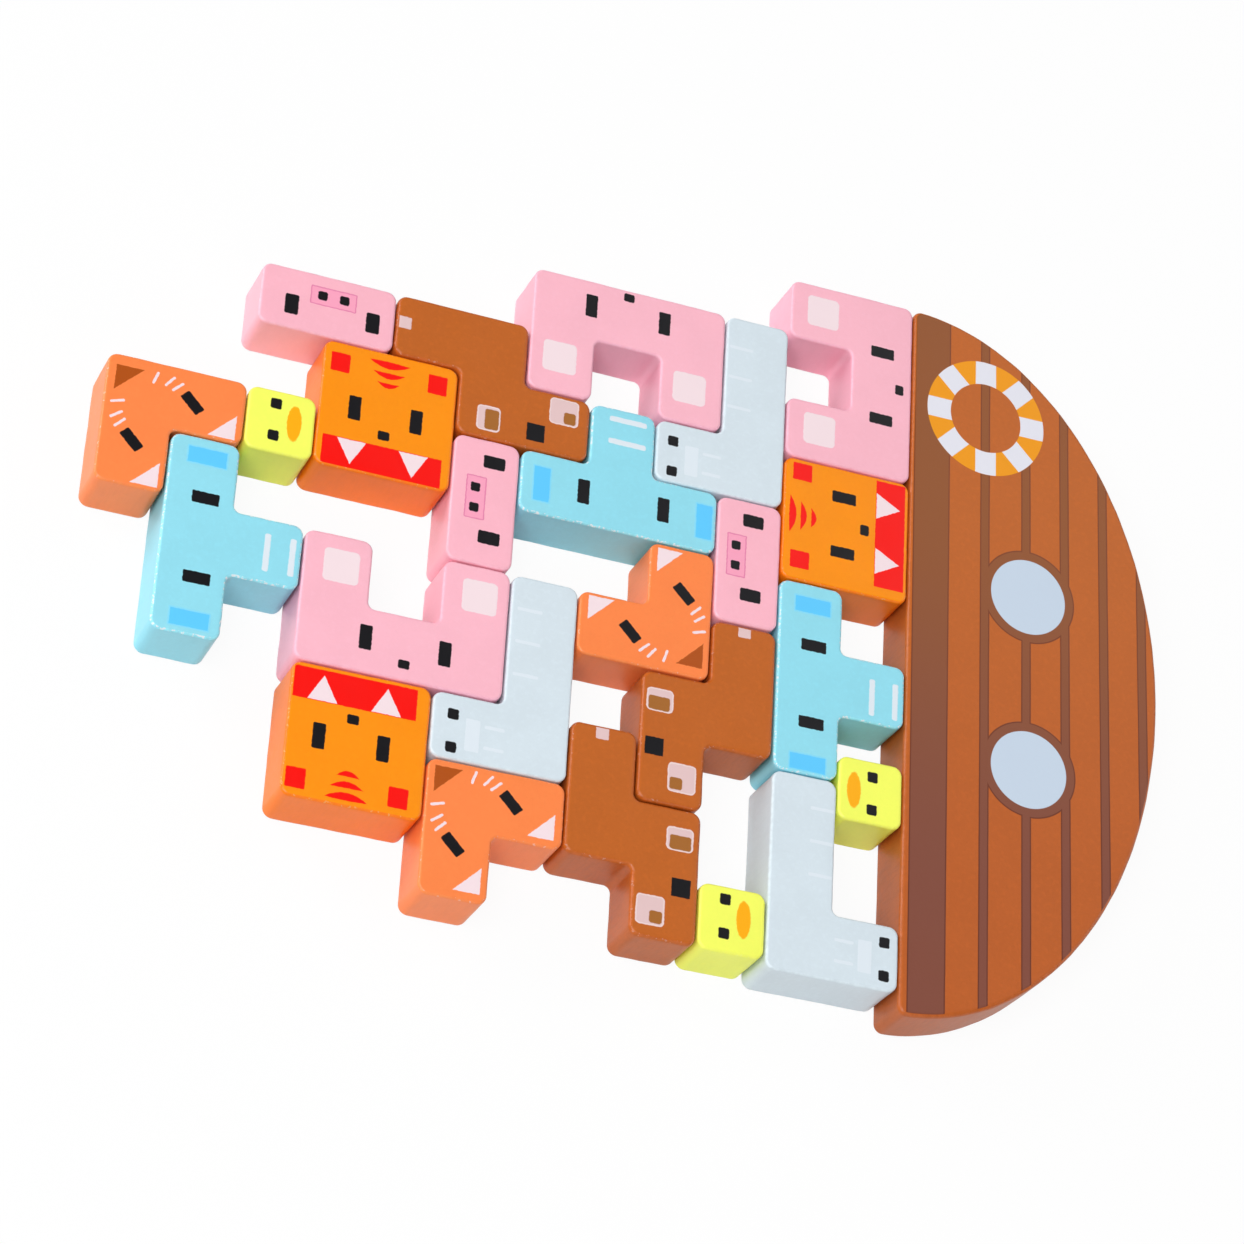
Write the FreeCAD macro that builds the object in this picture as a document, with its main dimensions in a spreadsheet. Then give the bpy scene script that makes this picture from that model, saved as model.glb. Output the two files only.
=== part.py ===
# Wooden animal blocks stacked along the flat deck of an ark.
#
# Every piece is sawn from one thickness of board. A block's outline is made of
# unit squares, like a domino or a tetromino, so that the blocks nest together.
# The set lies on its back: the board's thickness runs up Z, the ark's deck looks
# towards -X, and the stack grows from the deck in that direction. The origin is
# on the floor, under the middle of the set.
import FreeCAD, Part
import os
import Sketcher
from FreeCAD import Placement, Rotation, Vector

doc = FreeCAD.newDocument("animal_blocks")

# Driving sizes in millimetres
SIZES = (
    ("cell", 20.0),           # side of one unit square of a block
    ("board", 18.0),          # thickness of the board
    ("fit_gap", 0.3),         # play between two blocks that lie side by side
    ("outer_round", 3.0),     # radius of a block's outside corners, seen from above
    ("inner_round", 1.5),     # radius of its inside corners, left by the saw
    ("block_arris", 0.9),     # width of the flat sanded along a block's face edges
    ("ark_depth", 81.0),      # deck to the bottom of the hull
    ("ark_tip", 3.0),         # radius of the two ends of the deck, seen from above
    ("ark_arris", 1.6),       # width of the flat sanded along the ark's face edges
    ("stack_inset", 0.2),     # end of the deck to the first block of the bottom row
    ("deck_spare", 5.8),      # bare deck beyond the last block of the bottom row
    ("upper_shift", 18.0),    # how far the upper blocks start behind the bottom row
)
sheet = doc.addObject("Spreadsheet::Sheet", "Sizes")
for row, (alias, value) in enumerate(SIZES, start=1):
    sheet.set(f"A{row}", alias)
    sheet.set(f"B{row}", str(value))
    sheet.setAlias(f"B{row}", alias)
doc.recompute()

# Outlines in unit squares, anticlockwise, with the animal's face upright and the
# lower left corner of its frame at 0, 0
OUTLINES = {
    "chick": ((0, 0), (1, 0), (1, 1), (0, 1)),
    "pig": ((0, 0), (2, 0), (2, 1), (0, 1)),
    "cat": ((0, 0), (1, 0), (1, 1), (2, 1), (2, 2), (0, 2)),
    "tiger": ((0, 0), (2, 0), (2, 2), (0, 2)),
    "elephant": ((1, 0), (2, 0), (2, 1), (3, 1), (3, 2), (0, 2), (0, 1), (1, 1)),
    "zebra": ((0, 0), (2, 0), (2, 3), (1, 3), (1, 1), (0, 1)),
    "dog": ((1, 0), (3, 0), (3, 1), (2, 1), (2, 2), (0, 2), (0, 1), (1, 1)),
    "rabbit": ((0, 0), (3, 0), (3, 2), (2, 2), (2, 1), (1, 1), (1, 2), (0, 2)),
}

# Where each block lies: its frame's corner, counted in unit squares up from the
# deck and along it from its +Y end, then the turn about Z in degrees
BOTTOM_ROW = (
    ("rabbit_1", 0, 3, 90),
    ("tiger_1", 0, 5, 90),
    ("elephant_1", 0, 8, 90),
    ("chick_1", 1, 7.56, -90),
    ("zebra_1", 0, 11, 180),
)
UPPER_BLOCKS = (
    ("zebra_2", 4, 3, 0),
    ("pig_1", 3, 3, -90),
    ("dog_1", 4, 5, -90),
    ("chick_2", 2, 10, 90),
    ("dog_2", 3, 7, -90),
    ("cat_1", 3, 4, 180),
    ("rabbit_2", 3, 0, 180),
    ("elephant_2", 3, 2, 180),
    ("zebra_3", 7, 8, 0),
    ("dog_3", 8, 3, 0),
    ("pig_2", 7, 3, -90),
    ("cat_2", 7, 10, 0),
    ("rabbit_3", 9, 7, 0),
    ("tiger_2", 9, 4, 0),
    ("tiger_3", 7, 7, 180),
    ("pig_3", 8, 1, 180),
    ("chick_3", 9, 4, 90),
    ("elephant_3", 9, 7, 90),
    ("cat_3", 12, 5, 0),
)
# These two lie with their other face up
TURNED_OVER = ("zebra_1", "dog_2")

# Height of the whole stack above the deck and length of its bottom row, in unit
# squares. The deck is as long as that row, and the set is centred on the origin.
STACK_CELLS = max(up for _, up, _, _ in UPPER_BLOCKS)
ROW_CELLS = max(along for _, _, along, _ in BOTTOM_ROW)
DECK_LENGTH = f"({ROW_CELLS} * Sizes.cell + Sizes.stack_inset + Sizes.deck_spare)"
DECK_X = f"({STACK_CELLS} * Sizes.cell - Sizes.fit_gap / 2 - Sizes.ark_depth) / 2"
STACK_END_Y = f"({DECK_LENGTH} / 2 - Sizes.stack_inset)"


def new_sketch(body, name):
    """A sketch flat on the body's own XY plane."""
    sketch = body.newObject("Sketcher::SketchObject", name)
    plane = next(f for f in body.Origin.OriginFeatures if f.Role == "XY_Plane")
    sketch.AttachmentSupport = [(plane, "")]
    sketch.MapMode = "FlatFace"
    return sketch


def bind(sketch, kind, geometry, point, value, formula):
    """Hold a point's distance from the sketch's origin to a formula of the sheet."""
    number = sketch.addConstraint(Sketcher.Constraint(kind, -1, 1, geometry, point, value))
    sketch.setExpression(f"Constraints[{number}]", formula)


def pad_board(body, sketch):
    """Saw the outline out of the board."""
    pad = body.newObject("PartDesign::Pad", "Board")
    pad.Profile = sketch
    pad.setExpression("Length", "Sizes.board")
    doc.recompute()
    return pad


def round_corners(body, base, name, edges, alias):
    """Round the chosen upright edges of the last feature by a size of the sheet."""
    fillet = body.newObject("PartDesign::Fillet", name)
    fillet.Base = (base, edges)
    fillet.setExpression("Radius", f"Sizes.{alias}")
    doc.recompute()
    return fillet


def sand_arrises(body, base, alias):
    """Sand a flat along all the edges round the board's two faces."""
    chamfer = body.newObject("PartDesign::Chamfer", "SandedArrises")
    chamfer.Base = (base, face_edges(base.Shape))
    chamfer.setExpression("Size", f"Sizes.{alias}")
    doc.recompute()


def upright_edges(shape, wanted):
    """Names of the straight upright edges whose place passes the test."""
    names = []
    for number, edge in enumerate(shape.Edges, start=1):
        box = edge.BoundBox
        if box.ZLength > box.XLength + box.YLength and wanted(box.Center):
            names.append(f"Edge{number}")
    return names


def face_edges(shape):
    """Names of the edges round the two flat faces of the board."""
    names = []
    for number, edge in enumerate(shape.Edges, start=1):
        if edge.BoundBox.ZLength < edge.Length / 1000:
            names.append(f"Edge{number}")
    return names


def outline_directions(outline):
    """For each side of the outline: its start, its end and its way in unit steps."""
    sides = []
    for number, start in enumerate(outline):
        end = outline[(number + 1) % len(outline)]
        length = abs(end[0] - start[0]) + abs(end[1] - start[1])
        sides.append((start, end, (end[0] - start[0]) / length, (end[1] - start[1]) / length))
    return sides


def draw_outline(sketch, outline):
    """Draw a block's outline, each side set in from its grid line by half the play."""
    cell = sheet.cell
    half_gap = sheet.fit_gap / 2
    sides = outline_directions(outline)
    # A side that runs along X is placed by its Y, and a side along Y by its X. The
    # solid is on the left of the way of travel, so a side is set in to its left.
    places = []
    for start, _, step_x, step_y in sides:
        along_x = step_x != 0
        grid_line = start[1] if along_x else start[0]
        inward = step_x if along_x else -step_y
        places.append((along_x, grid_line, inward, grid_line * cell + inward * half_gap))
    corners = []
    for number, (along_x, _, _, place) in enumerate(places):
        before = places[number - 1][3]
        corners.append(Vector(before, place, 0) if along_x else Vector(place, before, 0))
    for number, corner in enumerate(corners):
        sketch.addGeometry(Part.LineSegment(corner, corners[(number + 1) % len(corners)]), False)
    for number in range(len(sides)):
        following = (number + 1) % len(sides)
        sketch.addConstraint(Sketcher.Constraint("Coincident", number, 2, following, 1))
    for number, (along_x, grid_line, inward, place) in enumerate(places):
        direction = "Horizontal" if along_x else "Vertical"
        sketch.addConstraint(Sketcher.Constraint(direction, number))
        axis = "DistanceY" if along_x else "DistanceX"
        formula = f"{grid_line} * Sizes.cell + {inward:.0f} * Sizes.fit_gap / 2"
        bind(sketch, axis, number, 1, place, formula)


def corner_test(outline, want_inside):
    """A test that passes points beside the outline's inside or outside corners."""
    cell = sheet.cell
    sides = outline_directions(outline)
    chosen = []
    for number, (start, _, step_x, step_y) in enumerate(sides):
        _, _, before_x, before_y = sides[number - 1]
        is_inside = before_x * step_y - before_y * step_x < 0
        if is_inside == want_inside:
            chosen.append(Vector(start[0] * cell, start[1] * cell, 0))

    def passes(point):
        flat = Vector(point.x, point.y, 0)
        return any(flat.distanceToPoint(corner) < sheet.fit_gap for corner in chosen)

    return passes


def make_block(label, outline):
    """One block: sawn outline, rounded corners, sanded arrises."""
    body = doc.addObject("PartDesign::Body", label)
    body.Label = label
    sketch = new_sketch(body, "Outline")
    draw_outline(sketch, outline)
    last = pad_board(body, sketch)
    outside = upright_edges(last.Shape, corner_test(outline, False))
    last = round_corners(body, last, "OutsideCorners", outside, "outer_round")
    inside = upright_edges(last.Shape, corner_test(outline, True))
    if inside:
        last = round_corners(body, last, "InsideCorners", inside, "inner_round")
    sand_arrises(body, last, "block_arris")
    return body


def place_block(body, up, along, turn, row_start):
    """Lay a block in the stack; one that is turned over stands on its printed face."""
    rotation = Rotation(Vector(0, 0, 1), turn)
    if body.Label in TURNED_OVER:
        rotation = rotation.multiply(Rotation(Vector(1, 0, 0), 180))
        body.setExpression(".Placement.Base.z", "Sizes.board")
    body.Placement = Placement(Vector(0, 0, 0), rotation)
    body.setExpression(".Placement.Base.x", f"{DECK_X} - {up} * Sizes.cell")
    body.setExpression(".Placement.Base.y", f"{STACK_END_Y} - {along} * Sizes.cell - {row_start}")


def make_ark():
    """The ark: half an ellipse of board, its flat side the deck."""
    body = doc.addObject("PartDesign::Body", "ark")
    body.Label = "ark"
    half = (ROW_CELLS * sheet.cell + sheet.stack_inset + sheet.deck_spare) / 2
    depth = sheet.ark_depth
    sketch = new_sketch(body, "Hull")
    hull = Part.Ellipse(Vector(0, half, 0), Vector(-depth, 0, 0), Vector(0, 0, 0))
    low_end = hull.parameter(Vector(0, -half, 0))
    high_end = hull.parameter(Vector(0, half, 0))
    arc = sketch.addGeometry(Part.ArcOfEllipse(hull, low_end, high_end), False)
    sketch.exposeInternalGeometry(arc)
    long_axis, short_axis = arc + 1, arc + 2
    deck = sketch.addGeometry(Part.LineSegment(Vector(0, half, 0), Vector(0, -half, 0)), False)
    sketch.addConstraint(Sketcher.Constraint("Coincident", arc, 2, deck, 1))
    sketch.addConstraint(Sketcher.Constraint("Coincident", arc, 1, deck, 2))
    sketch.addConstraint(Sketcher.Constraint("Coincident", arc, 3, -1, 1))
    sketch.addConstraint(Sketcher.Constraint("PointOnObject", deck, 1, -2))
    sketch.addConstraint(Sketcher.Constraint("PointOnObject", deck, 2, -2))
    sketch.addConstraint(Sketcher.Constraint("Vertical", long_axis))
    for axis, value, formula in (
        (long_axis, 2 * half, DECK_LENGTH),
        (short_axis, 2 * depth, "2 * Sizes.ark_depth"),
    ):
        number = sketch.addConstraint(Sketcher.Constraint("Distance", axis, value))
        sketch.setExpression(f"Constraints[{number}]", formula)
    last = pad_board(body, sketch)
    tips = upright_edges(last.Shape, lambda point: abs(point.x) < sheet.fit_gap)
    last = round_corners(body, last, "DeckEnds", tips, "ark_tip")
    sand_arrises(body, last, "ark_arris")
    body.setExpression(".Placement.Base.x", DECK_X)
    return body


pieces = [make_ark()]
for blocks, row_start in ((BOTTOM_ROW, "0"), (UPPER_BLOCKS, "Sizes.upper_shift")):
    for label, up, along, turn in blocks:
        animal = label.split("_")[0]
        block = make_block(label, OUTLINES[animal])
        place_block(block, up, along, turn, row_start)
        pieces.append(block)
doc.recompute()

# Nothing is written unless every object and every solid is sound
for item in doc.Objects:
    if "Invalid" in item.State or "Error" in item.State:
        raise RuntimeError(f"{item.Name} failed to recompute")
for piece in pieces:
    if piece.Shape.isNull() or not piece.Shape.isValid():
        raise RuntimeError(f"{piece.Label} is not a valid solid")

os.makedirs("parts", exist_ok=True)
for piece in pieces:
    piece.Shape.exportStep(f"parts/{piece.Label}.step")
print(f"{len(pieces)} pieces, {sum(piece.Shape.Volume for piece in pieces) / 1000:.1f} cm3 of board")
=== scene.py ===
# %% [markdown]
# # Wooden animal blocks and their ark
#
# Twenty-four painted wooden blocks are stacked along the flat deck of a wooden ark, and the
# whole set lies on its back on a pale floor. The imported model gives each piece's place and
# size. This lesson builds the pieces that are seen: boards with sawn outlines, sanded
# arrises and satin paint, printed with simple faces.
#
# Blender works in metres. The board's thickness runs up Z, and the stack grows towards -X.

# %% Load the frame
import math

import bmesh
import bpy
from mathutils import Matrix, Vector


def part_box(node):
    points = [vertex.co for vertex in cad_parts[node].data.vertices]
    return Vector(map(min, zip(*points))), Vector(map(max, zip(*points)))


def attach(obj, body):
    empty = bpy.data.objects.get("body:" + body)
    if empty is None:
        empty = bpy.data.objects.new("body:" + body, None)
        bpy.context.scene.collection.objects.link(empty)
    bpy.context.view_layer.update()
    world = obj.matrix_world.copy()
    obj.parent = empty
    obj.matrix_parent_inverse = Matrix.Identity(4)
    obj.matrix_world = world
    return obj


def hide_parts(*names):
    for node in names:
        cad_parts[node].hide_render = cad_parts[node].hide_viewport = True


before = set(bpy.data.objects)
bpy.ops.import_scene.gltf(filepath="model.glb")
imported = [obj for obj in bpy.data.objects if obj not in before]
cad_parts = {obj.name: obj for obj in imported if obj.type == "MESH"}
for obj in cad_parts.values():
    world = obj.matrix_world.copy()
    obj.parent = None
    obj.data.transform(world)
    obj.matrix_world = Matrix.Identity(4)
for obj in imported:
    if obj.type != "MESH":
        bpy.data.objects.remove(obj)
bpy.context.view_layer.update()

MM = 0.001
bpy.context.scene.view_settings.view_transform = "Standard"
print("pieces in the frame:", len(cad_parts))

# %% [markdown]
# ## The camera
#
# The picture was taken from above and in front, with a long lens, so the boards' sides all
# lean the same way and there is little perspective. The camera could be placed by its six
# numbers, but a photographer thinks of the point it looks at, how far round and how high it
# stands, and how far it is rolled. Those are the values kept here. The picture is square.

# %% Camera
FRAME_PIXELS = 1244
FOCAL_PIXELS = 3910.0
SENSOR_WIDTH = 36.0
LOOK_AT = Vector((-7.6, -12.8, 18.0)) * MM
CAMERA_DISTANCE = 1089.4 * MM
CAMERA_ROUND = math.radians(-33.82)
CAMERA_HEIGHT = math.radians(57.20)
CAMERA_ROLL = math.radians(42.00)


def place_camera():
    """A camera that looks at one point, from so far round, so high and so far rolled."""
    lens = bpy.data.cameras.new("camera")
    lens.sensor_width = SENSOR_WIDTH
    lens.lens = FOCAL_PIXELS * SENSOR_WIDTH / FRAME_PIXELS
    lens.clip_start = 0.05
    camera = bpy.data.objects.new("camera", lens)
    bpy.context.scene.collection.objects.link(camera)
    turned = Matrix.Rotation(CAMERA_ROUND, 4, "Z")
    tipped = Matrix.Rotation(math.pi / 2 - CAMERA_HEIGHT, 4, "X")
    rolled = Matrix.Rotation(CAMERA_ROLL, 4, "Z")
    back = Matrix.Translation((0, 0, CAMERA_DISTANCE))
    camera.matrix_world = Matrix.Translation(LOOK_AT) @ turned @ tipped @ back @ rolled
    return camera


bpy.context.scene.camera = place_camera()
print("lens, mm:", round(bpy.context.scene.camera.data.lens, 1))

# %% [markdown]
# ## Sizes from the frame
#
# A block is made of unit squares, like a domino. The side of one square and the play that
# is left between two blocks needn't be typed again: a block two squares long is exactly one
# square longer than a block of one.

# %% Sizes


def node_size(name):
    """Length, width and height of a piece of the frame."""
    low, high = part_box(name)
    return high - low


CELL = max(node_size("pig_1")) - max(node_size("chick_1"))
PLAY = CELL - node_size("chick_1").x
BOARD = node_size("chick_1").z
OUTSIDE_ROUND = 3.0 * MM
INSIDE_ROUND = 2.0 * MM
BLOCK_ARRIS = 1.0 * MM
DOG_ARRIS = 1.3 * MM
ARK_ARRIS = 1.5 * MM
print(f"square {CELL / MM:.1f}, play {PLAY / MM:.1f}, board {BOARD / MM:.1f} mm")

# %% [markdown]
# ## Working in edit mode
#
# The blocks are modelled with the tools that a person would use by hand. An operator acts
# on all that is selected, so these small helpers do what the hand does between two tools:
# drop the selection, enter edit mode, and pick vertices, edges or faces by where they are.

# %% Selecting by place


def deselect():
    """Leave nothing selected, in object mode."""
    bpy.ops.object.select_all(action="DESELECT")


def start_editing(piece, mode):
    """Edit one piece alone, in vertex, edge or face mode."""
    deselect()
    piece.select_set(True)
    bpy.context.view_layer.objects.active = piece
    bpy.ops.object.mode_set(mode="EDIT")
    bpy.ops.mesh.select_mode(type=mode)


def stop_editing():
    bpy.ops.object.mode_set(mode="OBJECT")


def pick(piece, kind, wanted):
    """Select only the verts, edges or faces that pass the test, and count them."""
    bpy.ops.mesh.select_all(action="DESELECT")
    mesh = bmesh.from_edit_mesh(piece.data)
    chosen = [element for element in getattr(mesh, kind) if wanted(element)]
    for element in chosen:
        element.select_set(True)
    mesh.select_flush_mode()
    bmesh.update_edit_mesh(piece.data)
    return len(chosen)


# %% [markdown]
# ## Sawing a block
#
# A real block is sawn from bare board with a fine band saw, its corners are rounded on a
# belt, and the arrises, the edges round its two faces, are sanded over. The model follows
# the same steps. Unit squares are laid side by side and merged into one outline, which is
# set in by half the play. Its corners are rounded with a vertex bevel, it is extruded to the
# board's thickness, and its arrises get an edge bevel. A boolean of boxes would give the
# same outline, but leaves seams that the bevels trip over.

# %% Outline of a block


def squares_round(point, squares):
    """How many of a block's squares meet at the grid corner nearest to a point."""
    column, row = round(point.x / CELL), round(point.y / CELL)
    return sum((column - i, row - j) in squares for i in (0, 1) for j in (0, 1))


def lay_squares(name, squares):
    """A flat outline of unit squares, given by column and row from its lower left."""
    deselect()
    middles = [((column + 0.5) * CELL, (row + 0.5) * CELL, 0) for column, row in sorted(squares)]
    first, *others = middles
    bpy.ops.mesh.primitive_plane_add(size=CELL, location=first)
    block = bpy.context.object
    block.name = block.data.name = name
    bpy.ops.object.transform_apply(location=True, rotation=False, scale=False)
    start_editing(block, "FACE")
    for place in others:
        bpy.ops.mesh.primitive_plane_add(size=CELL, location=place)
    bpy.ops.mesh.select_all(action="SELECT")
    bpy.ops.mesh.remove_doubles(threshold=CELL / 100)
    bpy.ops.mesh.dissolve_faces()
    pick(block, "verts", lambda v: squares_round(v.co, squares) == 2)
    bpy.ops.mesh.dissolve_verts()
    bpy.ops.mesh.select_mode(type="FACE")
    bpy.ops.mesh.select_all(action="SELECT")
    bpy.ops.mesh.inset(thickness=PLAY / 2)
    bpy.ops.mesh.select_all(action="INVERT")
    bpy.ops.mesh.delete(type="FACE")
    stop_editing()
    return block


def at_corner(vertex):
    """A vertex of the outline that no bevel has rounded yet: its sides are long."""
    return all(edge.calc_length() > 3 * OUTSIDE_ROUND for edge in vertex.link_edges)


def round_outline(block, squares):
    """Round the outside corners, where one square ends, and the inside ones, where three meet."""
    start_editing(block, "VERT")
    for meeting, radius, steps in ((1, OUTSIDE_ROUND, 8), (3, INSIDE_ROUND, 6)):
        if pick(block, "verts", lambda v: squares_round(v.co, squares) == meeting and at_corner(v)):
            bpy.ops.mesh.bevel(affect="VERTICES", offset=radius, segments=steps, profile=0.5)
    stop_editing()


# %% [markdown]
# ## Thickness, arrises and a hand-finished surface
#
# Extruding the outline gives the board. Both rims are bevelled in four steps, or in six on
# the ark, which reads as a round. Then the board is sliced every few millimetres: the slices
# don't change its shape, but a sander never leaves a straight line, and the new vertices let
# a displacement give the sides and arrises a slight wave. The wave only goes inwards, so
# blocks never meet.

# %% From outline to board
SLICE = 2.5 * MM
WAVE_DEPTH = 0.22 * MM
WAVE_LENGTH = 7.0 * MM


def raise_board(piece, arris, steps=4):
    """Extrude a flat outline to the board's thickness and round both of its rims."""
    start_editing(piece, "FACE")
    bpy.ops.mesh.select_all(action="SELECT")
    bpy.ops.mesh.extrude_region_move(TRANSFORM_OT_translate={"value": (0, 0, BOARD)})
    bpy.ops.mesh.select_all(action="SELECT")
    bpy.ops.mesh.normals_make_consistent(inside=False)
    bpy.ops.mesh.select_mode(type="EDGE")
    pick(piece, "edges", lambda e: abs(e.verts[0].co.z - e.verts[1].co.z) < BOARD / 100)
    bpy.ops.mesh.bevel(offset=arris, segments=steps, profile=0.5)
    stop_editing()


def slice_board(piece, spacing):
    """Cut the board across X, Y and Z at even steps, so that it can take a wave."""
    corners = [Vector(corner) for corner in piece.bound_box]
    start_editing(piece, "FACE")
    for axis, normal in enumerate(Matrix.Identity(3)):
        low = min(corner[axis] for corner in corners)
        high = max(corner[axis] for corner in corners)
        cuts = max(2, round((high - low) / spacing))
        for cut in range(1, cuts):
            place = normal * (low + (high - low) * cut / cuts)
            bpy.ops.mesh.select_all(action="SELECT")
            bpy.ops.mesh.bisect(plane_co=place, plane_no=normal)
    stop_editing()


def map_face(piece):
    """Keep each point's place on the block, in unit squares, for the print to follow."""
    layer = piece.data.uv_layers.new(name="face")
    for loop in piece.data.loops:
        place = piece.data.vertices[loop.vertex_index].co
        layer.data[loop.index].uv = (place.x / CELL, place.y / CELL)


# %% The eight outlines
SQUARES = {
    "chick": {(0, 0)},
    "pig": {(0, 0), (1, 0)},
    "cat": {(0, 0), (0, 1), (1, 1)},
    "tiger": {(0, 0), (1, 0), (0, 1), (1, 1)},
    "elephant": {(1, 0), (0, 1), (1, 1), (2, 1)},
    "zebra": {(0, 0), (1, 0), (1, 1), (1, 2)},
    "dog": {(1, 0), (2, 0), (0, 1), (1, 1)},
    "rabbit": {(0, 0), (1, 0), (2, 0), (0, 1), (2, 1)},
}


def saw_block(animal):
    """One block of a kind, upright, with its lower left corner at the origin."""
    squares = SQUARES[animal]
    block = lay_squares(animal, squares)
    round_outline(block, squares)
    raise_board(block, DOG_ARRIS if animal == "dog" else BLOCK_ARRIS)
    slice_board(block, SLICE)
    map_face(block)
    return block


patterns = {animal: saw_block(animal) for animal in SQUARES}
for animal, block in patterns.items():
    print(animal, "faces:", len(block.data.polygons))

# %% [markdown]
# ## Laying the blocks
#
# Each kind is modelled once and copied, every copy with its own mesh. The frame says where
# each block lies, so a copy is only turned the right way and moved until its box has the
# same centre as its node's box. Two blocks lie with their other face up. The turn and the
# move are then applied, so that every object stays at the origin.
#
# The faces are pressed on one block at a time, and hardly one sits in the middle of its
# block. How far each print is off, to its right and down, goes into the copy's face map.

# %% Turn and place
TURNS = {
    "rabbit_1": 90, "tiger_1": 90, "elephant_1": 90, "chick_1": -90, "zebra_1": 180,
    "zebra_2": 0, "pig_1": -90, "dog_1": -90, "chick_2": 90, "dog_2": -90,
    "cat_1": 180, "rabbit_2": 180, "elephant_2": 180, "zebra_3": 0, "dog_3": 0,
    "pig_2": -90, "cat_2": 0, "rabbit_3": 0, "tiger_2": 0, "tiger_3": 180,
    "pig_3": 180, "chick_3": 90, "elephant_3": 90, "cat_3": 0,
}
TURNED_OVER = {"zebra_1", "dog_2"}
PRINT_OFF_MM = {
    "rabbit_1": (0.7, -0.3), "tiger_1": (1.2, -0.6), "elephant_1": (-1.7, -0.6),
    "chick_1": (0.3, 0.7), "zebra_1": (-1.0, -0.4), "zebra_2": (-0.3, 0.5),
    "pig_1": (-1.6, 1.3), "dog_1": (-0.8, 0.6), "chick_2": (0.8, -1.1),
    "dog_2": (-0.3, -0.2), "cat_1": (-0.6, 0.5), "rabbit_2": (0.7, 1.1),
    "elephant_2": (-1.3, -1.3), "zebra_3": (0.6, 0.4), "dog_3": (-0.2, -0.4),
    "pig_2": (-0.9, 0.1), "cat_2": (-0.6, -0.7), "rabbit_3": (1.1, -1.1),
    "tiger_2": (-0.5, 0.4), "tiger_3": (1.6, -0.7), "pig_3": (-1.4, 0.4),
    "chick_3": (0.5, -0.6), "elephant_3": (-0.5, -0.3), "cat_3": (-0.2, 0.8),
}


def shift_print(mesh, right, down):
    """Slide the face map against the block, by squares, so that the print moves on it."""
    for corner in mesh.uv_layers["face"].data:
        corner.uv.x -= right
        corner.uv.y += down


def lay_block(name, turn):
    """A copy of the block's pattern, turned and moved to where its node lies."""
    pattern = patterns[name.split("_")[0]]
    mesh = pattern.data.copy()
    middle = sum((Vector(corner) for corner in pattern.bound_box), Vector()) / 8
    low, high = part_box(name)
    flip = Matrix.Rotation(math.pi if name in TURNED_OVER else 0, 4, "X")
    turned = Matrix.Rotation(math.radians(turn), 4, "Z") @ flip
    mesh.transform(Matrix.Translation((low + high) / 2) @ turned @ Matrix.Translation(-middle))
    shift_print(mesh, *(off * MM / CELL for off in PRINT_OFF_MM[name]))
    block = bpy.data.objects.new(f"{name}_block", mesh)
    bpy.context.scene.collection.objects.link(block)
    return block


blocks = {name: lay_block(name, turn) for name, turn in TURNS.items()}
for pattern in patterns.values():
    bpy.data.objects.remove(pattern)
print("blocks laid:", len(blocks))

# %% [markdown]
# ## The ark
#
# The ark is half an ellipse of the same board. A circle is stretched to the ellipse and
# bisected along the deck. The two ends of the deck are square corners with a small round.
# The ellipse is nearly straight there, so its points inside the round are dissolved first.

# %% Ark outline and board
ARK_TIP = 3.0 * MM
ON_DECK = 0.1 * MM
HULL_POINTS = 200


def saw_ark():
    low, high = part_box("ark")
    depth = high.x - low.x
    half_length = (high.y - low.y) / 2
    deselect()
    bpy.ops.mesh.primitive_circle_add(vertices=HULL_POINTS, radius=1, fill_type="NGON")
    ark = bpy.context.object
    ark.name = ark.data.name = "ark_board"
    start_editing(ark, "VERT")
    bpy.ops.mesh.select_all(action="SELECT")
    bpy.ops.transform.resize(value=(depth, half_length, 1))
    bpy.ops.mesh.bisect(plane_co=(0, 0, 0), plane_no=(1, 0, 0), clear_inner=True)
    pick(ark, "verts", lambda v: ON_DECK < v.co.x < ARK_TIP * 1.1)
    bpy.ops.mesh.dissolve_verts()
    pick(ark, "verts", lambda v: v.co.x < ON_DECK)
    bpy.ops.mesh.bevel(affect="VERTICES", offset=ARK_TIP, segments=8, profile=0.5)
    stop_editing()
    raise_board(ark, ARK_ARRIS, steps=6)
    slice_board(ark, 2 * SLICE)
    ark.data.transform(Matrix.Translation((low.x, (low.y + high.y) / 2, low.z)))
    return ark


ark = saw_ark()
print("ark faces:", len(ark.data.polygons))

# %% [markdown]
# ## Waves and shading
#
# One clouds texture bends all the boards. It is read in each board's own coordinates, which
# are the room's here, so no two blocks get the same wave. The modifiers are applied, because
# the finished mesh is what is kept. Weighted normals keep the flat faces flat beside the
# small round of the arris.

# %% Sand by hand
wave = bpy.data.textures.new("sander_wave", "CLOUDS")
wave.noise_scale = WAVE_LENGTH
wave.noise_depth = 1


def sand(piece, depth):
    """Wave a board's surface inwards by up to a depth, and shade it smooth."""
    deselect()
    piece.select_set(True)
    bpy.context.view_layer.objects.active = piece
    displace = piece.modifiers.new("wave", "DISPLACE")
    displace.texture = wave
    displace.texture_coords = "LOCAL"
    displace.strength = depth
    displace.mid_level = 1.0
    bpy.ops.object.modifier_apply(modifier="wave")
    bpy.ops.object.shade_smooth()
    weighted = piece.modifiers.new("normals", "WEIGHTED_NORMAL")
    weighted.weight = 100
    bpy.ops.object.modifier_apply(modifier="normals")


for block in blocks.values():
    sand(block, WAVE_DEPTH)
sand(ark, WAVE_DEPTH)

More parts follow.
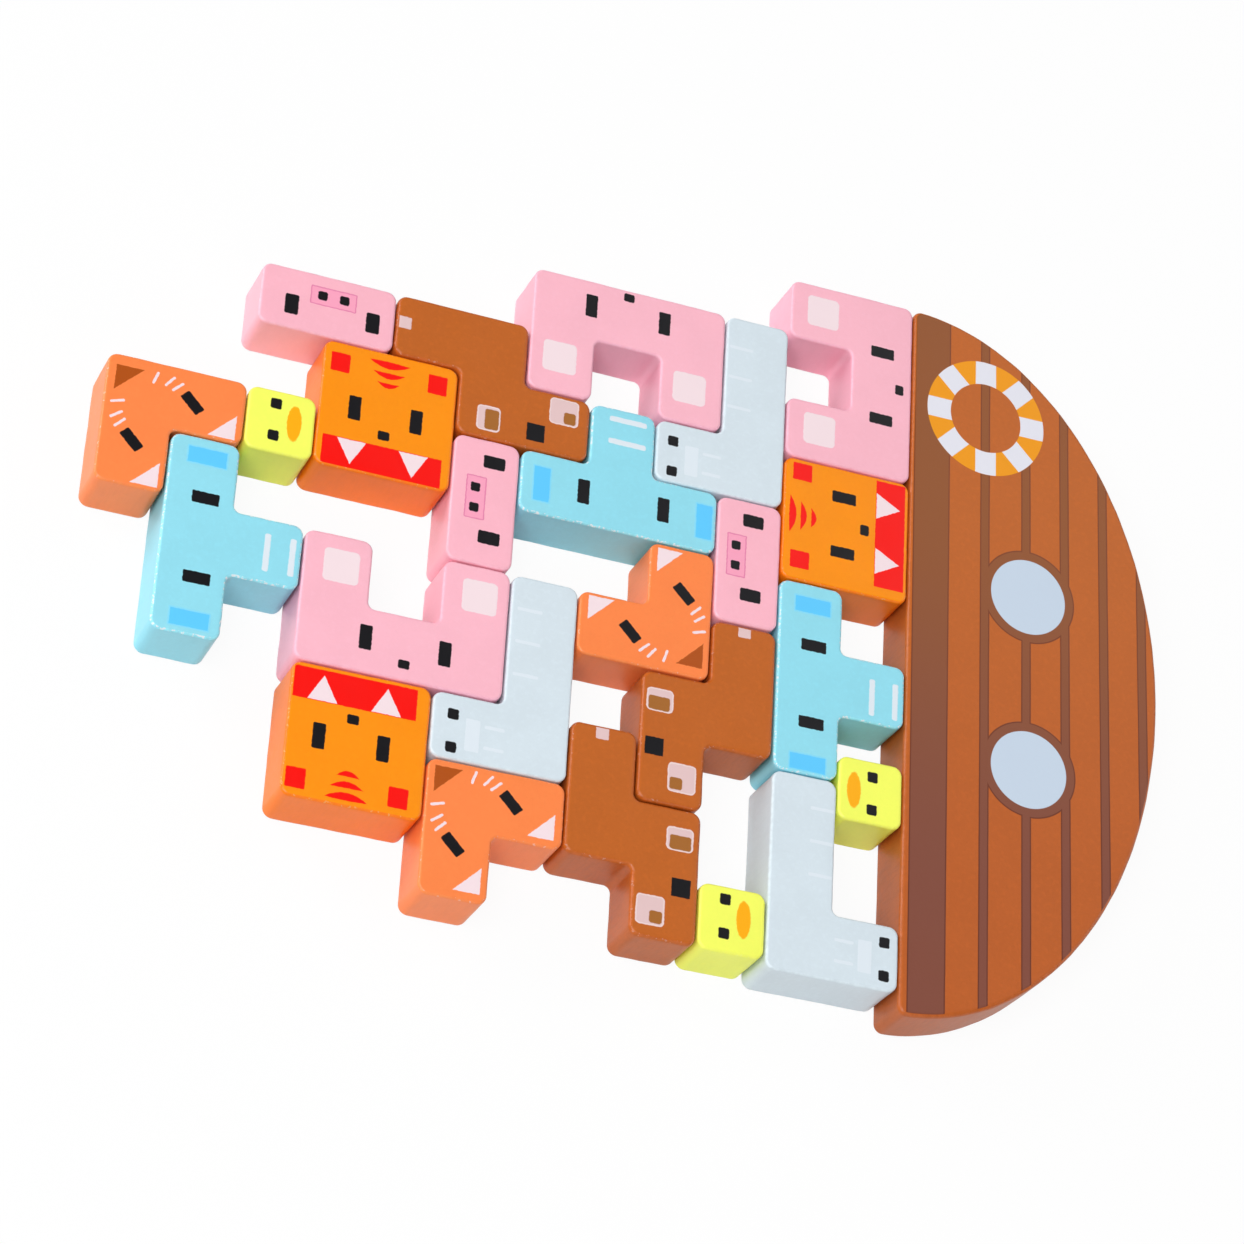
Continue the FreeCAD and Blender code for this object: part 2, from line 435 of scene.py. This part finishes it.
# %% [markdown]
# ## Hand the pieces to the frame
#
# Every piece rides on the one body and takes the place of its own node, which is hidden.

# %% Ride and replace
for name, piece in [*blocks.items(), ("ark", ark)]:
    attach(piece, "root")
    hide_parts(name)
    name.split("_")[0] + "_paint"
print("boards ready:", len(blocks) + 1)

# %% [markdown]
# ## Writing paint as arithmetic
#
# A print mask is a sum: how far is this point from the middle of the eye, and is that less
# than the eye's half width? Drawn as nodes by hand such sums fill a screen. Here a small
# class wraps a socket, and an ordinary expression on it adds the Math nodes. Every other
# node comes from one method.

# %% Values and nodes


class Value:
    """A number that changes over a surface: the socket that carries it."""

    def __init__(self, finish, socket):
        self.finish = finish
        self.socket = socket

    def math(self, operation, *terms, clamp=False):
        settings = {"operation": operation, "use_clamp": clamp}
        return self.finish.value("ShaderNodeMath", settings, dict(enumerate(terms)))

    def __add__(self, other):
        return self.math("ADD", self, other)

    def __sub__(self, other):
        return self.math("SUBTRACT", self, other)

    def __rsub__(self, other):
        return self.math("SUBTRACT", other, self)

    def __mul__(self, other):
        return self.math("MULTIPLY", self, other)

    def __abs__(self):
        return self.math("ABSOLUTE", self)

    __radd__ = __add__
    __rmul__ = __mul__

    def larger(self, other):
        return self.math("MAXIMUM", self, other)

    def smaller(self, other):
        return self.math("MINIMUM", self, other)

    def root(self):
        return self.math("SQRT", self)

    def between(self, low, high):
        """0 below low, 1 above high, and a smooth rise between them."""
        settings = {"interpolation_type": "SMOOTHSTEP"}
        return self.finish.value("ShaderNodeMapRange", settings, {0: self, 1: low, 2: high})


class Finish:
    """A material in the making: its node tree, and one way to add a node to it."""

    def __init__(self, name):
        self.material = bpy.data.materials.new(name)
        self.material.use_nodes = True
        self.tree = self.material.node_tree
        self.tree.nodes.clear()

    def node(self, kind, settings=None, inputs=None):
        """Add a node: its settings first, then the values or links of its sockets."""
        made = self.tree.nodes.new(kind)
        for name, setting in (settings or {}).items():
            setattr(made, name, setting)
        for name, value in (inputs or {}).items():
            value = value.socket if isinstance(value, Value) else value
            if isinstance(value, bpy.types.NodeSocket):
                self.tree.links.new(value, made.inputs[name])
            else:
                made.inputs[name].default_value = value
        return made

    def value(self, kind, settings=None, inputs=None, output=0):
        return Value(self, self.node(kind, settings, inputs).outputs[output])

    def mix(self, factor, one, other):
        """Blend two colours."""
        inputs = {"Factor": factor, 6: one, 7: other}
        return self.node("ShaderNodeMix", {"data_type": "RGBA"}, inputs).outputs[2]

    def tint(self, factor, one, other):
        """Multiply one colour by another, which darkens it."""
        inputs = {"Factor": factor, 6: one, 7: other}
        settings = {"data_type": "RGBA", "blend_type": "MULTIPLY"}
        return self.node("ShaderNodeMix", settings, inputs).outputs[2]

    def split(self, vector):
        """The three numbers of a vector."""
        parts = self.node("ShaderNodeSeparateXYZ", None, {0: vector}).outputs
        return [Value(self, part) for part in parts]

    def noise(self, place, size, detail=2.0, roughness=0.5):
        """Soft random values from 0 to 1, with lumps about as large as size."""
        inputs = {"Vector": place, "Scale": 1 / size, "Detail": detail, "Roughness": roughness}
        return self.value("ShaderNodeTexNoise", None, inputs)


def colour(red, green, blue):
    """A colour given from 0 to 255, as the linear values that shaders use."""
    parts = [c / 255 for c in (red, green, blue)]
    linear = [c / 12.92 if c <= 0.04045 else ((c + 0.055) / 1.055) ** 2.4 for c in parts]
    return (*linear, 1.0)


# %% [markdown]
# ## Shapes of the print
#
# The faces are printed with a film on the painted board: boxes with soft corners, bars,
# triangles and ellipses. Each shape is a distance, below zero inside it, worked out from the
# place on the block in unit squares. A mask is that distance made steep. Two eyes cost one
# shape, because the place can be folded about the middle of the face first.

# %% Distances and masks
INK_EDGE = 0.009


def inside(distance):
    """1 inside a shape and 0 outside, with an edge as wide as the ink's own."""
    return distance.math("MULTIPLY_ADD", distance, -1 / INK_EDGE, 0.5, clamp=True)


def box(x, y, width, height, corner=0.02):
    beyond_x = abs(x) - (width / 2 - corner)
    beyond_y = abs(y) - (height / 2 - corner)
    round_x, round_y = beyond_x.larger(0), beyond_y.larger(0)
    outside = (round_x * round_x + round_y * round_y).root()
    return outside + beyond_x.larger(beyond_y).smaller(0) - corner


def ellipse(x, y, width, height):
    across, along = x * (2 / width), y * (2 / height)
    return ((across * across + along * along).root() - 1) * (min(width, height) / 2)


def triangle(x, y, *corners):
    """A triangle whose corners are given in order, either way round."""
    (ax, ay), (bx, by), (cx, cy) = corners
    way = 1 if (bx - ax) * (cy - ay) > (by - ay) * (cx - ax) else -1
    distance = None
    for number in range(3):
        (px, py), (qx, qy) = corners[number], corners[(number + 1) % 3]
        length = math.hypot(qx - px, qy - py)
        across, along = way * (qy - py) / length, way * (px - qx) / length
        side = x * across + y * along - (px * across + py * along)
        distance = side if distance is None else distance.larger(side)
    return distance


def bar(x, y, start, end, width):
    """A straight stroke from one point to another, with rounded ends."""
    (px, py), (qx, qy) = start, end
    length = math.hypot(qx - px, qy - py)
    across, along = (qx - px) / length, (qy - py) / length
    middle_x, middle_y = (px + qx) / 2, (py + qy) / 2
    u = x * across + y * along - (middle_x * across + middle_y * along)
    v = y * across - x * along - (middle_y * across - middle_x * along)
    return box(u, v, length + width, width, corner=width / 2)


# %% [markdown]
# ## The eight faces
#
# Each function returns its marks in the order they were printed: a distance and an ink.
# `x` runs from the left of the upright face and `down` from its top, in unit squares.

# %% Inks
BLACK = colour(15, 14, 19)
RED = colour(250, 8, 0)
PALE = colour(246, 224, 229)
AMBER = colour(255, 176, 6)
SKY = colour(96, 204, 255)
NOSE_BROWN = colour(176, 80, 16)
PATCH_BROWN = colour(166, 104, 44)
SNOUT_LINE = colour(232, 130, 170)
SNOUT = colour(250, 164, 192)
CHALK = colour(224, 234, 242)
ROSE = colour(228, 196, 196)
ROSE_EDGE = colour(238, 214, 212)
SKY_EDGE = colour(136, 220, 248)


# %% Small faces


def chick_marks(x, down):
    side = abs(x - 0.5)
    return [
        (box(side - 0.25, down - 0.44, 0.16, 0.16, 0.03), BLACK),
        (ellipse(x - 0.5, down - 0.72, 0.55, 0.21), AMBER),
    ]


def pig_marks(x, down):
    side = abs(x - 1)
    snout = box(x - 1, down - 0.62, 0.68, 0.30, 0.02)
    return [
        (box(side - 0.595, down - 0.38, 0.20, 0.32, 0.03), BLACK),
        (snout, SNOUT_LINE),
        (snout + 0.018, SNOUT),
        (box(side - 0.16, down - 0.63, 0.14, 0.14, 0.03), BLACK),
    ]


def cat_marks(x, down):
    # The cat's face is the same on both sides of the diagonal, so it is folded there
    along = (x + down) * math.sqrt(0.5)
    side = abs(x - down) * math.sqrt(0.5)
    nose = (0.15 - x).larger(0.15 - down).larger((x + down - 0.69) * math.sqrt(0.5))
    return [
        (nose, NOSE_BROWN),
        (bar(along, side, (0.617, 0.418), (0.698, 0.268), 0.038), PALE),
        (bar(along, side, (0.795, 0.571), (0.817, 0.399), 0.038), PALE),
        (bar(along, side, (0.932, 0.612), (0.927, 0.435), 0.038), PALE),
        (box(along - 1.223, side - 0.545, 0.345, 0.165, 0.02), BLACK),
        (triangle(along, side, (1.976, 0.697), (1.708, 0.428), (1.708, 0.965)), PALE),
    ]


# %% Wide faces


def elephant_marks(x, down):
    side = abs(x - 1.5)
    ear = box(side - 1.233, down - 0.555, 0.285, 0.585, 0.02)
    return [
        (ear, SKY_EDGE),
        (ear + 0.022, SKY),
        (box(side - 0.605, down - 0.59, 0.18, 0.385, 0.02), BLACK),
        (box(x - 1.5, down - 1.51, 0.57, 0.085, 0.03), CHALK),
        (box(x - 1.5, down - 1.87, 0.57, 0.085, 0.03), CHALK),
    ]


def rabbit_marks(x, down):
    side = abs(x - 1.5)
    return [
        (box(side - 1.0, down - 0.54, 0.51, 0.50, 0.07), PALE),
        (box(side - 0.567, down - 1.515, 0.18, 0.37, 0.02), BLACK),
        (box(x - 1.5, down - 1.8, 0.165, 0.135, 0.03), BLACK),
    ]


def zebra_marks(x, down):
    eye = abs(down - 2.545)
    whisker = abs(down - 2.55)
    marks = [
        (box(x - 0.28, eye - 0.245, 0.16, 0.16, 0.03), BLACK),
        (box(x - 0.572, down - 2.56, 0.205, 0.48, 0.02), CHALK),
        (box(x - 0.885, whisker - 0.155, 0.29, 0.05, 0.02), CHALK),
    ]
    marks += [(box(x - 1.265, down - row, 0.37, 0.05, 0.02), CHALK) for row in (0.5, 1.0, 1.5)]
    return marks


def dog_marks(x, down):
    left_patch = box(x - 1.485, down - 1.69, 0.35, 0.40, 0.07)
    right_patch = box(x - 2.60, down - 1.31, 0.44, 0.42, 0.07)
    return [
        (box(x - 0.12, down - 0.475, 0.24, 0.19, 0.02), ROSE),
        (left_patch.smaller(right_patch), ROSE_EDGE),
        ((left_patch + 0.02).smaller(right_patch + 0.02), ROSE),
        (box(x - 1.535, down - 1.70, 0.21, 0.32, 0.04), PATCH_BROWN),
        (box(x - 2.69, down - 1.395, 0.18, 0.19, 0.04), PATCH_BROWN),
        (box(x - 2.195, down - 1.74, 0.27, 0.28, 0.01), BLACK),
    ]


# %% [markdown]
# The tiger has the busiest face. Its brow carries plain curved stripes. Each is a lens: the
# overlap of two discs, one a little lower than the other, which tapers to a point.

# %% The tiger's face


def stripe(x, y, width, height, sag):
    """A curved stripe that is thickest in the middle and runs out to a point."""
    bend = y - x * x * (4 * sag / width ** 2)
    taper = (1 - x * x * (4 / width ** 2)) * (height / 2)
    return (abs(bend) - taper).larger(abs(x) - width / 2)


def tiger_marks(x, down):
    side = abs(x - 1)
    middle = x - 1
    marks = [(box(side - 0.715, down - 0.32, 0.28, 0.30, 0.02), RED)]
    for row, width, height in ((0.19, 0.60, 0.115), (0.36, 0.46, 0.095), (0.52, 0.32, 0.08)):
        marks.append((stripe(middle, down - row, width, height, -0.045), RED))
    marks += [
        (box(side - 0.45, down - 0.985, 0.18, 0.375, 0.02), BLACK),
        (box(middle, down - 1.32, 0.17, 0.14, 0.03), BLACK),
        (box(middle, down - 1.722, 1.74, 0.465, 0.01), RED),
        (triangle(side, down, (0.24, 1.50), (0.66, 1.50), (0.45, 1.875)), PALE),
    ]
    return marks


# %% [markdown]
# ## Satin paint on wood
#
# The blocks are dipped in primer and sprayed. Up close the paint has a faint orange peel.
# Along the arrises the paint is thin and lighter, with a painted highlight, and white dots
# show there, partly primer and partly painted glints, most of all on the elephants. Brown
# is the thinnest paint: it is mottled, and the sawn grain of the sides shows in it as faint
# streaks. A multiplied tint makes the tigers' sides darker and redder, and lays a little
# painted shade on the sides of the dogs and rabbits. Where the surface faces tells the
# shader what it is painting: the flat faces look straight up or down, the sides look
# sideways, and what is between is the arris.

# %% Coat of paint
# White of the dots on the arris: partly primer, partly painted glints.
PRIMER_AND_GLINT = colour(238, 242, 244)
BROAD_LUMPS = 14 * MM
FINE_LUMPS = 1.6 * MM
PEEL_LUMPS = 0.9 * MM
PIMPLES = 0.85 * MM
GRAIN_WIDTH = 1.1 * MM
GRAIN_STRETCH = 0.18


def surface_masks(finish):
    """Masks of the printed faces and of the sanded arris, from where the surface faces."""
    geometry = finish.node("ShaderNodeNewGeometry")
    upright = abs(finish.split(geometry.outputs["Normal"])[2])
    face = upright.between(0.90, 0.97)
    arris = upright.between(0.08, 0.45) * (1 - face)
    return face, arris


def shade(base, share, lift=0.0):
    """A colour made lighter or darker."""
    return (*(min(1.0, share * part + lift) for part in base[:3]), 1.0)


def add_coat(finish, place, face, arris, base, specks_and_glints, grain_shows):
    """The paint itself: its colour, the thin, lighter paint and painted highlight along the arris,
    and its height.
    """
    broad = finish.noise(place, BROAD_LUMPS)
    fine = finish.noise(place, FINE_LUMPS, detail=3.0)
    peel = finish.noise(place, PEEL_LUMPS, detail=1.0)
    pimple = finish.noise(place, PIMPLES, detail=1.0)
    stretched = finish.node("ShaderNodeMapping", {"vector_type": "POINT"}, {
        "Vector": place, "Scale": (1.0, 1.0, GRAIN_STRETCH),
    }).outputs[0]
    grain = finish.noise(stretched, GRAIN_WIDTH, detail=3.0, roughness=0.6)
    side = 1 - face

    coat = finish.mix(broad.between(0.35, 0.65) * 0.35, base, shade(base, 0.92))
    coat = finish.mix(fine.between(0.45, 0.75) * (0.20 + grain_shows), coat, shade(base, 1.10))
    coat = finish.mix(peel.between(0.50, 0.75) * (0.10 + grain_shows), coat, shade(base, 0.92))
    # The arris is made lighter: thinner paint there, and a painted highlight along it.
    worn_and_highlight = arris * fine.between(0.30, 0.62)
    coat = finish.mix(worn_and_highlight * (0.30 + 0.40 * specks_and_glints), coat, shade(base, 1.20, lift=0.01))
    # White dots on the arris, partly primer showing through and partly painted glints.
    least = 0.68 - 0.13 * specks_and_glints
    coat = finish.mix(arris * pimple.between(least, least + 0.05) * specks_and_glints, coat, PRIMER_AND_GLINT)
    coat = finish.mix(side * grain.between(0.42, 0.68) * grain_shows, coat, shade(base, 0.80))
    height = peel * 0.45 + side * grain * 0.9 + fine * 0.35 + arris * pimple * 3.0
    return coat, height, fine


# %% [markdown]
# The marks are laid over the coat in order, only where the board is flat. Wherever there is
# ink the surface stands up by a film's thickness and is a touch glossier, as a print on
# paint is. The paint's relief is a Bump of a few hundredths of a millimetre: at that size
# real geometry would need millions of faces.

# %% Print and shine
RELIEF = 0.06 * MM
RELIEF_STRENGTH = 0.6
INK_HEIGHT = 0.5
SATIN_ROUGHNESS = 0.34
SATIN_SPECULAR = 0.36


def print_marks(finish, coat, face, marks):
    """Lay marks, as masks and inks, over the coat, and tell where there is ink."""
    printed = None
    for mask, ink in marks:
        mask = mask * face
        coat = finish.mix(mask, coat, ink)
        printed = mask if printed is None else printed.larger(mask)
    return coat, printed


def satin(finish, coat, height, fine, printed, arris):
    """Finish the material: the coat's colour, its shine and its relief."""
    bump = finish.node("ShaderNodeBump", None, {
        "Strength": RELIEF_STRENGTH, "Distance": RELIEF, "Height": height + printed * INK_HEIGHT,
    }).outputs[0]
    shader = finish.node("ShaderNodeBsdfPrincipled", None, {
        "Base Color": coat,
        "Specular IOR Level": SATIN_SPECULAR,
        "Roughness": SATIN_ROUGHNESS + fine * 0.10 - printed * 0.05 - arris * 0.06,
        "Normal": bump,
    }).outputs[0]
    finish.node("ShaderNodeOutputMaterial", None, {"Surface": shader})
    return finish.material


# %% Paint of one kind of block
RAGGED_LUMPS = 0.8 * MM
RAGGED_DEPTH = 0.012


def paint_block(animal, base, marks, specks_and_glints=0.1, grain_shows=0.08, side_tint_and_shade=None):
    """One animal's paint, with its face printed on both sides of the board."""
    finish = Finish(f"{animal}_paint")
    place = finish.node("ShaderNodeTexCoord").outputs["Object"]
    face, arris = surface_masks(finish)
    coat, height, fine = add_coat(finish, place, face, arris, base, specks_and_glints, grain_shows)
    # The sides are multiplied darker: painted shade on the dogs and rabbits, darker and redder on
    # the tigers.
    if side_tint_and_shade:
        coat = finish.tint(1 - face, coat, side_tint_and_shade)
    x, up, _ = finish.split(finish.node("ShaderNodeUVMap", {"uv_map": "face"}).outputs[0])
    rows = max(row for _, row in SQUARES[animal]) + 1
    ragged = (finish.noise(place, RAGGED_LUMPS, detail=0.0) - 0.5) * RAGGED_DEPTH
    laid = [(inside(distance + ragged), ink) for distance, ink in marks(x, rows - up)]
    coat, printed = print_marks(finish, coat, face, laid)
    return satin(finish, coat, height, fine, printed, arris)


# %% Paint the blocks
# The tint of the sides is painted shade on the dogs and rabbits; the tigers' sides are tinted
# darker and redder.
PAINTS = {
    "chick": {"base": colour(248, 255, 100), "marks": chick_marks},
    "pig": {"base": colour(253, 184, 200), "marks": pig_marks},
    "cat": {
        "base": colour(255, 136, 72), "marks": cat_marks,
        "specks_and_glints": 0.3, "grain_shows": 0.15,
    },
    "tiger": {
        "base": colour(255, 146, 0), "marks": tiger_marks,
        "specks_and_glints": 0.4, "grain_shows": 0.15, "side_tint_and_shade": (1.0, 0.7, 0.3, 1.0),
    },
    "elephant": {"base": colour(147, 222, 239), "marks": elephant_marks, "specks_and_glints": 0.9},
    "zebra": {"base": colour(215, 228, 236), "marks": zebra_marks},
    "dog": {
        "base": colour(192, 99, 32), "marks": dog_marks,
        "specks_and_glints": 0.2, "grain_shows": 0.4, "side_tint_and_shade": (1.0, 0.92, 0.85, 1.0),
    },
    "rabbit": {
        "base": colour(253, 186, 202), "marks": rabbit_marks,
        "side_tint_and_shade": (1.0, 0.95, 0.98, 1.0),
    },
}
paints = {animal: paint_block(animal, **recipe) for animal, recipe in PAINTS.items()}
for name, block in blocks.items():
    block.data.materials.clear()
    block.data.materials.append(paints[name.split("_")[0]])
print("paints:", ", ".join(sorted(paints)))

# %% [markdown]
# ## The ark's paint
#
# The hull is printed with planks, a dark rubbing band along the deck, two portholes and a
# life ring. A Mapping node moves the pattern's middle to the middle of the deck and counts
# in millimetres, so every size below can be read off a ruler. It also turns the print by
# half a degree, because the film was laid on a little crooked. Band, planks and porthole
# rims overlap, so they are joined into one shape and outlined once. Towards the life ring
# the browns are painted warmer and lighter: a painted sheen.

# %% Ark inks and measures
ARK_BROWN = colour(188, 94, 35)
ARK_GRAIN_SHOWS = 0.4
# Painted sheen: towards the life ring the browns and plank lines turn lighter and warmer.
PLANK_LINE, PLANK_LINE_SHEEN = colour(130, 74, 58), colour(147, 85, 44)
PLANK_EDGE, PLANK_EDGE_SHEEN = colour(106, 51, 34), colour(128, 66, 36)
SHEEN_LIGHT = colour(249, 168, 70)
SHEEN_SHARE = 0.07
SHEEN_START, SHEEN_END = -80.0, 60.0
GLASS = colour(200, 215, 232)
RING_WHITE = colour(230, 230, 240)
RING_AMBER = colour(242, 155, 4)
PRINT_TURN = math.radians(0.49)
BAND_START, BAND_END = 1.5, 13.2
PLANK_ROWS = (24.7, 38.1, 50.7, 63.4, 75.9)
PLANK_HALF = 1.55
OUTLINE = 0.4
PORTHOLES = ((38.8, 24.4), (38.9, -31.1))
RIM_RADIUS = 15.0
GLASS_RADIUS = 12.0
RING_MIDDLE = (24.8, 81.1)
RING_OUTSIDE = 19.1
RING_INSIDE = 11.5
RING_BAND = 6.7


def disc(x, y, middle, radius):
    across, along = x - middle[0], y - middle[1]
    return (across * across + along * along).root() - radius


def ink_mm(distance):
    """A mask for distances in millimetres."""
    return distance.math("MULTIPLY_ADD", distance, -1 / (INK_EDGE * CELL / MM), 0.5, clamp=True)


# %% Ark print


def ring_bands(x, y):
    """Eight parallel-sided bands across the life ring, an eighth of a turn apart."""
    across, along = x - RING_MIDDLE[0], y - RING_MIDDLE[1]
    slant, other = (across + along) * math.sqrt(0.5), (across - along) * math.sqrt(0.5)
    nearest = abs(across).smaller(abs(along)).smaller(abs(slant)).smaller(abs(other))
    return nearest - RING_BAND / 2


def ark_marks(finish, x, y, painted_sheen):
    """The ark's marks as masks and inks, x from the deck and y along it, in millimetres."""
    lines = abs(x - (BAND_START + BAND_END) / 2) - (BAND_END - BAND_START) / 2
    for row in PLANK_ROWS:
        lines = lines.smaller(abs(x - row) - PLANK_HALF)
    for hole in PORTHOLES:
        lines = lines.smaller(disc(x, y, hole, RIM_RADIUS))
    # The plank inks turn lighter towards the life ring: painted sheen.
    marks = [
        (ink_mm(lines), finish.mix(painted_sheen, PLANK_EDGE, PLANK_EDGE_SHEEN)),
        (ink_mm(lines + OUTLINE), finish.mix(painted_sheen, PLANK_LINE, PLANK_LINE_SHEEN)),
    ]
    for hole in PORTHOLES:
        marks.append((ink_mm(disc(x, y, hole, GLASS_RADIUS)), GLASS))
    ring = disc(x, y, RING_MIDDLE, RING_OUTSIDE).larger(RING_INSIDE - disc(x, y, RING_MIDDLE, 0))
    marks += [(ink_mm(ring), RING_AMBER), (ink_mm(ring.larger(ring_bands(x, y))), RING_WHITE)]
    return marks


def paint_ark():
    finish = Finish("ark_paint")
    place = finish.node("ShaderNodeTexCoord").outputs["Object"]
    face, arris = surface_masks(finish)
    coat, height, fine = add_coat(finish, place, face, arris, ARK_BROWN, 0.0, ARK_GRAIN_SHOWS)
    low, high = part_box("ark")
    middle = (low.x, (low.y + high.y) / 2, low.z)
    ruler = finish.node("ShaderNodeMapping", {"vector_type": "TEXTURE"}, {
        "Vector": place, "Location": middle, "Rotation": (0, 0, PRINT_TURN), "Scale": (MM, MM, MM),
    }).outputs[0]
    x, y, _ = finish.split(ruler)
    # Painted sheen, lighter and warmer towards the life ring.
    painted_sheen = y.between(SHEEN_START, SHEEN_END)
    coat = finish.mix(painted_sheen * SHEEN_SHARE, coat, SHEEN_LIGHT)
    coat, printed = print_marks(finish, coat, face, ark_marks(finish, x, y, painted_sheen))
    return satin(finish, coat, height, fine, printed, arris)


ark.data.materials.clear()
ark.data.materials.append(paint_ark())
print("ark painted")

# %% [markdown]
# ## Floor and light
#
# The set lies on a white table in a bright room. A white floor under plain light comes out
# slightly grey, and more light would bleach the paint. So the camera sees a floor that
# glows, while the light on the blocks stays plain: Light Path tells the two apart. A small
# share of what the camera sees is the plain matt floor, which keeps the shadow. The paint's
# own gloss mirrors the floor at about half that glow, or the sides would turn milky.

# %% Floor
FLOOR_SIZE = 6.0
FLOOR_WHITE = colour(244, 244, 244)
FLOOR_GLOW = 0.93
MIRRORED_GLOW = 0.50


def make_floor():
    deselect()
    bpy.ops.mesh.primitive_plane_add(size=FLOOR_SIZE, location=(0, 0, 0))
    floor = bpy.context.object
    floor.name = "floor"
    finish = Finish("floor_white")
    rays = finish.node("ShaderNodeLightPath").outputs
    seen, glossy, through = (
        Value(finish, rays[kind])
        for kind in ("Is Camera Ray", "Is Glossy Ray", "Is Transmission Ray")
    )
    glow_share = (seen * FLOOR_GLOW).larger(glossy.larger(through) * MIRRORED_GLOW)
    matt = finish.node("ShaderNodeBsdfDiffuse", None, {"Color": FLOOR_WHITE}).outputs[0]
    glow = finish.node("ShaderNodeEmission", None, {"Color": (1, 1, 1, 1), "Strength": 1.0})
    shader = finish.node("ShaderNodeMixShader", None, {
        0: glow_share, 1: matt, 2: glow.outputs[0],
    }).outputs[0]
    finish.node("ShaderNodeOutputMaterial", None, {"Surface": shader})
    floor.data.materials.append(finish.material)
    return floor


make_floor()

# %% [markdown]
# Seen from this camera, the flat tops mirror the ceiling behind the set. A bright ceiling
# would lay a grey veil over the black eyes, so the room is dim and the light comes from
# softboxes round the set: a large one over the photographer's shoulder, and low ones whose
# light runs along the arrises. A weak one behind gives part of the slight sheen that grows
# towards the life ring; the rest is painted sheen in the ark's browns.

# %% Room and lamps
ROOM_LIGHT = 0.08
LAMPS = (
    ("shoulder", (-1.10, -0.68, 2.14), 1.8, 53.0),
    ("left_back", (-2.10, 1.13, 0.75), 1.4, 30.0),
    ("front_right", (0.75, -2.10, 1.13), 1.4, 9.0),
    ("right", (2.28, 0.27, 0.97), 1.4, 9.5),
    ("right_back", (1.35, 1.35, 1.61), 1.4, 6.5),
)

room = bpy.data.worlds.new("room")
room.use_nodes = True
room.node_tree.nodes["Background"].inputs["Color"].default_value = (1, 1, 1, 1)
room.node_tree.nodes["Background"].inputs["Strength"].default_value = ROOM_LIGHT
bpy.context.scene.world = room


def hang_lamp(name, place, size, power):
    """A square softbox that faces the middle of the set."""
    light = bpy.data.lights.new(name, "AREA")
    light.size = size
    light.energy = power
    lamp = bpy.data.objects.new(name, light)
    lamp.location = place
    lamp.rotation_euler = Vector(place).to_track_quat("Z", "Y").to_euler()
    bpy.context.scene.collection.objects.link(lamp)
    return lamp


for lamp in LAMPS:
    hang_lamp(*lamp)
print("lamps:", len(LAMPS))
